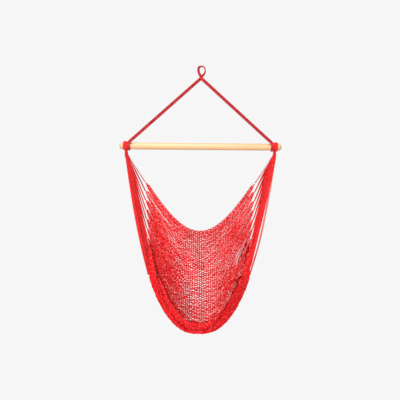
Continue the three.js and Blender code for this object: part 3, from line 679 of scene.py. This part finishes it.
def on_net(u, v):
    """Places on the hanging cloth: u from -1 at the left to 1, v from 0 at the back to 1."""
    column = (np.clip(u, -1, 1) + 1) * POINT_COUNT / 2
    row = np.clip(v, 0, 1) * ROW_COUNT
    c = np.minimum(column.astype(int), POINT_COUNT - 1)
    r = np.minimum(row.astype(int), ROW_COUNT - 1)
    a, b = (column - c)[..., None], (row - r)[..., None]
    upper = net_rows[r, c] * (1 - a) + net_rows[r, c + 1] * a
    lower = net_rows[r + 1, c] * (1 - a) + net_rows[r + 1, c + 1] * a
    return upper * (1 - b) + lower * b


def net_frame(u, v):
    """The directions across, down and out of the cloth."""
    u, v = np.broadcast_arrays(np.asarray(u, float), np.asarray(v, float))
    across = unit(on_net(np.minimum(u + 0.01, 1), v) - on_net(np.maximum(u - 0.01, -1), v))
    down = unit(on_net(u, np.minimum(v + 0.01, 1)) - on_net(u, np.maximum(v - 0.01, 0)))
    outward = unit(np.cross(across, down))
    return across, down, outward


# The gathered points of the side edges, which the strings pull up towards the neck
TABS = 11
TAB_PULL = 0.75
NECK_LENGTH = 0.0068
mouth = np.array([NECK_X, 0, BAR_Z + NECK_BOTTOM - NECK_LENGTH])
tab_root, tab_lean = {}, {}
for side in (-1, 1):
    v = np.linspace(0, 1, TABS)
    root = on_net(np.full(TABS, float(side)), v)
    across, down, _ = net_frame(np.full(TABS, float(side)), v)
    away = side * across
    away = unit(away - down * (away * down).sum(1, keepdims=True))
    pull = unit(mouth * (side, 1, 1) - root)
    tab_root[side], tab_lean[side] = root, unit(away + TAB_PULL * pull)

# Each strand is a soft three-ply cord. It runs level beside the strand above it for the
# width of a mesh, steps down, runs beside the strand below it, and so on from arm to arm.
STRANDS = 120
COLUMNS = 72
STRAND_RADIUS = 0.0022
MESH_STEP = 0.22
MESH_MIDDLE_SIZE, MESH_END_SIZE = 0.82, 1.58
MESH_MIDDLE_RISE, MESH_END_RISE = 0.0012, -0.0006
STRAND_WANDER = 0.0005
PARTING = 0.009
UPPER_EDGE_RISE = 0.0075
LAST_ROWS, LAST_ROW_FORWARD = 6, 0.005
LOOSE_ROWS = range(56, 70)
TAB_TIP = 0.009

net_finish = cotton_finish(
    "net cotton", (0.69, 0.008, 0.010),
    patch_size=170, patch_depth=2.8, fibre_size=900, sheen=0.03, depth=0.0004,
)
show_plies(net_finish, turns=330, depth=0.0006)
# Painted light: the left part of the net is made lighter, against the shade it lies in.
paint_light_along(net_finish, "X", places=(-0.25, -0.08), values=(1.1, 1))
chance = np.random.default_rng(11)


def slow_change(every_row, every_column):
    """Random values for the meshes that change slowly down and across the net."""
    coarse = chance.normal(0, 1, (STRANDS // every_row + 2, COLUMNS // every_column + 2))
    across = np.array([spread_values(row, every_column, COLUMNS + 1) for row in coarse])
    return np.array([spread_values(line, every_row, STRANDS + 1) for line in across.T]).T


# The rows lie closer at the upper edge and at the lip, and wider just above the lip
row_number = np.arange(STRANDS + 1)
spacing = 1 - 0.35 * np.exp(-row_number / 6) - 0.3 * np.exp((row_number - STRANDS) / 8)
spacing += 0.25 * np.exp(-((row_number - STRANDS + 13) / 6) ** 2)
row_place = np.concatenate([[0], np.cumsum(spacing[:-1])])
row_place /= row_place[-1]

# The meshes are uneven, most of all in the middle, and part in a slit on each side
calm = np.clip(np.minimum(row_number, STRANDS - row_number) / 5, 0, 1)[:, None]
along_mesh = np.arange(COLUMNS + 1) * 2 / COLUMNS - 1
outer = np.abs(along_mesh)
mesh_v = (0.25 - 0.1 * outer) * chance.normal(0, 1, (STRANDS + 1, COLUMNS + 1))
mesh_v += (0.24 - 0.18 * outer) * slow_change(5, 6)
mesh_v = row_place[:, None] + calm * mesh_v / STRANDS
left_slit = ramp(-along_mesh, 0.45, 0.1)
right_slit = ramp(along_mesh, 0.55, 0.06) * ramp(-along_mesh, -0.9, 0.05)
for slit_place, reach in ((0.1, left_slit), (0.53, right_slit)):
    off = row_place[:, None] - slit_place
    mesh_v += PARTING * np.tanh(off / 0.004) * np.exp(-np.abs(off) / 0.03) * reach
mesh_u = 0.08 * slow_change(12, 2) + 0.05 * chance.normal(0, 1, mesh_v.shape)
mesh_u = (np.arange(COLUMNS + 1) + mesh_u) * 2 / COLUMNS - 1
fullness = 1 + 0.08 * slow_change(14, 7) + 0.06 * slow_change(2, 2)
gap = np.repeat(np.arange(COLUMNS), 3)
part_way = np.tile((0.2, 0.5, 0.8), COLUMNS)


def strand_sizes(strand, u):
    """How thick a strand is along its length: thinner at its ends and in two looser zones."""
    sizes = np.where(part_way == 0.5, MESH_MIDDLE_SIZE, MESH_END_SIZE) * fullness[strand, gap]
    sizes *= chance.normal(1, 0.1, len(u))
    above_lip = np.exp(-((strand / STRANDS - 0.8) / 0.07) ** 2)
    sizes *= 1 - 0.45 * above_lip * ramp(u, 0.25, 0.2)
    if strand in LOOSE_ROWS:
        sizes *= 1 - 0.4 * ramp(u, 0.55, 0.06) * ramp(-u, -0.88, 0.05)
    return sizes * (1 - (0.56 + 0.06 * (u > 0)) * np.abs(u) ** 1.2)


def closed_mesh(cord):
    """The laid strands as one mesh, each strand closed at its ends."""
    view = bpy.context.evaluated_depsgraph_get()
    mesh = bpy.data.meshes.new_from_object(cord.evaluated_get(view))
    name, curve = cord.name, cord.data
    bpy.data.objects.remove(cord)
    bpy.data.curves.remove(curve)
    shape = bmesh.new()
    shape.from_mesh(mesh)
    bmesh.ops.remove_doubles(shape, verts=shape.verts, dist=0.000005)
    bmesh.ops.recalc_face_normals(shape, faces=shape.faces)
    shape.to_mesh(mesh)
    shape.free()
    piece = bpy.data.objects.new(name, mesh)
    bpy.context.scene.collection.objects.link(piece)
    return piece


for name, first, last in (("net_back", 0, STRANDS // 2), ("net_seat", STRANDS // 2, STRANDS)):
    net = new_cord(name, STRAND_RADIUS)
    for strand in range(first, last):
        beside = strand + (gap + strand) % 2
        hand_v = np.where(beside == strand, 1, -1)
        tab = int((strand + 0.5) / STRANDS * (TABS - 1) + 0.25)
        u = mesh_u[beside, gap] * (1 - part_way) + mesh_u[beside, gap + 1] * part_way
        u = np.clip(u, -1, 1)
        _, below, out_of = net_frame(u, mesh_v[beside, gap])
        heart = on_net(u, np.full(len(u), tab / (TABS - 1)))
        line = on_net(u, np.clip(mesh_v[beside, gap] + MESH_STEP * hand_v / STRANDS, 0, 1))
        proud = np.where(part_way == 0.5, MESH_MIDDLE_RISE, MESH_END_RISE) * hand_v
        line = line + out_of * (proud + chance.normal(0, STRAND_WANDER, len(line)))[:, None]
        if strand == 0:
            line = line - below * np.where(beside == 0, UPPER_EDGE_RISE, 0)[:, None]
        near_lip = max(strand - STRANDS + LAST_ROWS, 0) / (LAST_ROWS - 1)
        line = line - forward * LAST_ROW_FORWARD * near_lip
        length = run_along(line)
        for side, away in ((-1, length), (1, length[-1] - length)):
            kept = 1 - 0.6 * np.exp(-away / 0.009) - 0.28 * np.exp(-away / 0.03)
            tip = tab_lean[side][tab] * TAB_TIP * np.exp(-away / 0.012)[:, None]
            line = heart + (line - heart) * kept[:, None] + tip
        add_strand(net, line, strand_sizes(strand, u))
    net = closed_mesh(net)
    finish_piece(net, net_finish, "seat", "net", "seat_net")


# Arm strings: twisted from two yarns, from the neck down to the gathered points,
# through each and back. The front points carry the sitter, so that theirs are more in
# number and lie side by side as one band.
ROW_AT_NECK = 0.0019
PAIR_AT_NECK = 0.0024
NECK_TURN = math.radians(50)
STRING_LOOP = 0.011
STRING_STEP = 0.003
MIDDLE_TAB, FRONT_TAB = TABS // 2, TABS - 1

# For each gathered point: legs, yarn radius, half spread of the legs, share kept at the net
string_kinds = [(2, 0.001, 0.002, 0.8)] + [(5, 0.0013, 0.0032, 0.6)] * 4
string_kinds += [(6, 0.0012, 0.005, 0.4)] * 2 + [(7, 0.0011, 0.006, 0.3)] * 3
string_kinds += [(9, 0.0011, 0.0075, 1)]
for side, hand in ((-1, "left"), (1, "right")):
    for tab in range(TABS):
        legs, yarn_radius, spread, kept = string_kinds[tab]
        bow = side * (chance.uniform(-0.0015, 0.0015) + 0.0022 * max(tab - 6, 0))
        # On the right the front point's strings are fewer and stand apart from the band
        if hand == "right" and tab == FRONT_TAB:
            legs, spread, bow = 3, 0.003, bow + 0.004
        elif tab > 6:
            kept, bow = 1, bow - 0.004 * (side > 0)
        piece = new_cord(f"strings_{hand}_{tab + 1:02d}", yarn_radius, 0 if tab < 7 else 1)
        for leg in range(legs):
            spot = (leg - (legs - 1) / 2) / ((legs - 1) / 2)
            along_row = (tab - MIDDLE_TAB) * ROW_AT_NECK
            across_row = PAIR_AT_NECK * spot
            start = np.array([
                side * (NECK_X + along_row * math.cos(NECK_TURN) + across_row * math.sin(NECK_TURN)),
                across_row * math.cos(NECK_TURN) - along_row * math.sin(NECK_TURN),
                BAR_Z + NECK_BOTTOM,
            ])
            below = start - (0, 0, NECK_LENGTH)
            loop = tab_root[side][tab] + tab_lean[side][tab] * STRING_LOOP
            end = loop + np.array([spread * spot * kept, 0.002 * (-1) ** leg, 0])
            slack = np.array([bow, chance.uniform(-0.002, 0.002), 0])
            places = [start, below]
            for share, sag, fan in ((0.12, 0.3, 0.5), (0.45, 1, 1), (0.75, 1, (1 + 2 * kept) / 3)):
                point = below * (1 - share) + loop * share + slack * sag
                places.append(point + np.array([spread * spot * fan, 0, 0]))
            line = even_steps(smooth_line([*places, end]), STRING_STEP)
            lay_plies(piece, line, (0, 1, 0), 2, 0.6 * yarn_radius, 13 * yarn_radius, start=leg)
        # The lots differ in tone at random. On the right the dark lot is left out: painted light,
        # which makes the right-hand strings lighter against the shade they fall in.
        lot = string_finishes[(0, 1, 0, 2)[tab % 4] if side < 0 else (0, 2)[tab % 2]]
        finish_piece(piece, lot, "seat", "string", f"arm_string_{hand}_{tab + 1:02d}")


# Front lip: the net's front margin drawn together and rolled on itself, so that its
# strands lie close side by side and run a little askew along the roll, over a core.
LIP_STRANDS = 40
LIP_COLUMNS = 84
LIP_POINTS = 401
LIP_STRAND_RADIUS = 0.0024
LIP_CORE_RADIUS = 0.0085
LIP_WIDTH, LIP_DEPTH = 0.060, 0.024
LIP_OVERLAP = 0.012
LIP_BACKWARD = 0.0014
LIP_ROUGHNESS = 0.0015
ROW_HALF_WIDTH, ROW_HALF_DEPTH = 0.0045, 0.0025
CREASE_U = (-1, -0.82, -0.6, -0.4, 0, 0.2, 0.4, 1)
CREASE_SPOT = (0.8, 0.44, 0.05, -0.1, -0.35, 0, 0.8, 0.95)

lip_finish = cotton_finish(
    "lip cotton", (0.79, 0.008, 0.011),
    patch_size=130, patch_depth=2, fibre_size=900, sheen=0.04, depth=0.0005,
)
lip_outline = smooth_line([(a, b, 0) for a, b in (
    (1, 0), (0.9, 0.66), (0.6, 0.94), (-0.1, 1), (-0.74, 0.78), (-1, 0), (-0.88, -0.78),
    (-0.66, -1), (0.35, -1), (0.82, -0.66), (1, 0),
)])[:, :2]
lip_u = np.linspace(-1, 1, LIP_POINTS)
last_row = on_net(lip_u, np.full(LIP_POINTS, 1.0))
across, _, outward = net_frame(lip_u, np.full(LIP_POINTS, 1.0))
square = np.cross(outward, across)
inward = unit(np.cross(across, forward))
size = 0.72 + 0.28 * np.sin(np.minimum((1 - np.abs(lip_u)) / 0.14, 1) * math.pi / 2)
bumps = 1 + 0.03 * spread_values(chance.normal(0, 1, 46), 9, LIP_POINTS)
rough = LIP_ROUGHNESS * spread_values(chance.uniform(-1, 1, 135), 3, LIP_POINTS)
lip_width, lip_depth = LIP_WIDTH * size * bumps + rough, LIP_DEPTH * size
lip_at = last_row + inward * (lip_width / 2 - LIP_OVERLAP * size - rough)[:, None]
row_thickness = ROW_HALF_WIDTH * np.abs(square[:, 1]) + ROW_HALF_DEPTH * np.abs(outward[:, 1])
lip_at[:, 1] -= row_thickness - LIP_BACKWARD + lip_depth / 2
lip_along = unit(np.gradient(lip_at, axis=0))
lip_normal = unit(np.cross(lip_along, inward))
crease = np.interp(lip_u, CREASE_U, CREASE_SPOT)
lip = new_cord("rolled_lip", LIP_STRAND_RADIUS, 0)
for strand in range(LIP_STRANDS):
    mesh = math.pi * ((lip_u + 1) / 2 * LIP_COLUMNS + strand)
    mesh = mesh + 0.9 * np.sin(lip_u * 7 + strand * 0.4)
    wave = 0.3 * np.tanh(2 * np.sin(mesh)) + 0.16 * np.sin(lip_u * 9 + strand * 1.7)
    turn = ((strand + wave) / LIP_STRANDS + 0.16 * lip_u) % 1
    spot = share_out(lip_outline, turn)
    spot[:, 1] *= 1 - 0.4 * (spot[:, 1] > 0) * np.exp(-((spot[:, 0] - crease) / 0.13) ** 2)
    line = lip_at + inward * (spot[:, 0] * (lip_width / 2 - LIP_STRAND_RADIUS))[:, None]
    line = line + lip_normal * (spot[:, 1] * (lip_depth / 2 - LIP_STRAND_RADIUS))[:, None]
    add_strand(lip, line, (1.2 - 0.5 * np.abs(np.sin(mesh))) * chance.normal(1, 0.07, len(line)))
for spot in (-0.62, -0.3, 0, 0.3, 0.62):
    line = lip_at + inward * (spot * lip_width / 2)[:, None]
    add_strand(lip, line, size * LIP_CORE_RADIUS / LIP_STRAND_RADIUS * (0.8 if spot else 0.5))
show_plies(lip_finish, turns=90, depth=0.0006)
# Painted shade: the right part of the lip is made darker, against the stronger light that falls on
# it.
paint_light_along(lip_finish, "X", places=(0.02, 0.2), values=(1, 0.86))
finish_piece(lip, lip_finish, "seat", "hem", "front_hem")


# Margin yarns: at each corner the strands of the lip run on up the side of the net
# and are drawn in to the gathered points above it.
MARGIN_RADIUS = 0.0027
MARGIN_TAB = 7
MARGIN_YARNS = 8
MARGIN_OVERRUN = 0.012
MARGIN_HALF_WIDTH = 0.005
MARGIN_SWAY = 0.0022

margin_finish = cotton_finish(
    "margin cotton", (0.76, 0.008, 0.009),
    patch_size=130, patch_depth=2.2, fibre_size=900, sheen=0.04, depth=0.0004,
)
show_plies(margin_finish, turns=16, depth=0.0006)
inner_yarns = {}
for side, hand, end in ((-1, "left", 0), (1, "right", -1)):
    margin = new_cord(f"margin_yarns_{hand}", MARGIN_RADIUS)
    root = tab_root[side][MARGIN_TAB]
    pull = unit(mouth * (side, 1, 1) - root)
    for layer in (-1, 1):
        for number, spot in enumerate(np.linspace(-1, 1, MARGIN_YARNS)):
            start = lip_at[end] + inward[end] * (lip_width[end] / 2 - 0.003) * spot
            start = start + lip_normal[end] * lip_depth[end] * 0.22 * layer - pull * MARGIN_OVERRUN
            top = root + pull * MARGIN_OVERRUN + inward[end] * MARGIN_HALF_WIDTH * spot
            top = top + (0, -0.004 + 0.002 * layer, 0)
            line = smooth_line([start, (start + top) / 2, top], 12)
            share = np.linspace(0, 1, len(line))
            sway = np.sin(share * 26 + number * 2.1 + layer) * np.sin(share * math.pi)
            sizes = (1 - 0.45 * share) * (1 + 0.25 * np.sin(share * 31 + number * 4))
            add_strand(margin, line + inward[end] * (MARGIN_SWAY * sway)[:, None], sizes)
            if layer == 1 and spot == 1:
                inner_yarns[side] = line
    margin.data.materials.append(margin_finish)
    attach(margin, "seat")


# Painted shade: dark strands with no shine, coloured to stand for the shade that falls in the crease
# of the roll, along the lip's inner edge where it meets the net, and beside the slit on the net's
# right side. They lie as a broken dark line.
SHADE_STRAND_RADIUS = 0.0024
LIP_SHADE_POINTS, SLIT_SHADE_POINTS = 260, 54
SHADE_SWAY = 0.003
SHOWS_AT = (-0.93, -0.7, -0.1, 0.62, 0.91)
SHOWS_BY = (1.2, 1.3, 1.1, 0.8, 2.2)

painted_shade_finish = cotton_finish(
    "painted shade cotton", (0.26, 0.004, 0.005),
    patch_size=120, patch_depth=3, fibre_size=900, sheen=0, depth=0.0004,
)
painted_shade_finish.node_tree.nodes["Principled BSDF"].inputs["Specular IOR Level"].default_value = 0
in_crease = lip_at + inward * (crease * lip_width / 2)[:, None]
in_crease = in_crease + lip_normal * (lip_depth * 0.34)[:, None]
beside_net = lip_at + inward * (lip_width / 2 + 0.001)[:, None] + forward * 0.006
beside_net = np.vstack([
    inner_yarns[-1][::-1] + inward[0] * 0.004 + forward * 0.005,
    beside_net[6:-6],
    inner_yarns[1] + inward[-1] * 0.003 + forward * 0.005,
])
slit_shade = on_net(np.linspace(0.85, 0.61, 60), np.linspace(0.518, 0.555, 60)) - forward * 0.008

# For each line of painted shade: where it lies, its points, its thickness, and its move inward
shade_lines = [
    (in_crease, LIP_SHADE_POINTS, 1.1, 0), (in_crease, LIP_SHADE_POINTS, 0.9, 0),
    (beside_net, LIP_SHADE_POINTS, 1.2, 0), (beside_net, LIP_SHADE_POINTS, 1, 0.013),
    (beside_net, LIP_SHADE_POINTS, 0.8, 0.026), (slit_shade, SLIT_SHADE_POINTS, 1.2, 0),
    (slit_shade + (0.005, 0, 0.004), SLIT_SHADE_POINTS, 1.1, 0),
    (slit_shade + (-0.004, 0, -0.003), SLIT_SHADE_POINTS, 0.9, 0),
]
shade_strands = new_cord("painted_shade_strands", SHADE_STRAND_RADIUS)
for number, (middle, count, thickness, drawn_in) in enumerate(shade_lines):
    line = share_out(middle, np.linspace(0, 1, count))
    ragged = spread_values(chance.uniform(-0.5, 1.6, 54), 5, count).clip(0.05)
    if middle is beside_net:
        far = np.linspace(-1, 1, count)[:, None] - SHOWS_AT
        ragged *= 0.45 + (np.exp(-(far / 0.08) ** 2) * SHOWS_BY).sum(1)
    if count == SLIT_SHADE_POINTS:
        ragged *= 1 + 0.9 * np.exp(-np.arange(count) / 14)
    sway = spread_values(chance.uniform(-SHADE_SWAY, SHADE_SWAY, 31), 9, count)
    line = line + forward * 0.001 * min(number, 4) + np.array([1.0, 0, 0.3]) * sway[:, None]
    line[:, 0] *= 1 - drawn_in
    add_strand(shade_strands, line, thickness * ragged)
shade_strands.data.materials.append(painted_shade_finish)
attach(shade_strands, "seat")


# Back edge cord: a three-ply cord of the rope's cotton along the upper border of the
# net, which keeps that border from stretching. It stops just short of the corners.
EDGE_REACH = 0.97
EDGE_POINTS = 301
EDGE_RISE = 0.003
EDGE_PLY_RADIUS = 0.0016
EDGE_LAY_RADIUS = 0.0014
EDGE_PITCH = 0.018

edge_u = np.linspace(-EDGE_REACH, EDGE_REACH, EDGE_POINTS)
across, _, outward = net_frame(edge_u, np.zeros(EDGE_POINTS))
square = np.cross(outward, across)
edge_line = on_net(edge_u, np.zeros(EDGE_POINTS)) - square * EDGE_RISE
edge = new_cord("back_cord", EDGE_PLY_RADIUS)
lay_plies(edge, edge_line, outward, 3, EDGE_LAY_RADIUS, EDGE_PITCH)
finish_piece(edge, rope_finish, "seat", "cord", "back_edge_cord")
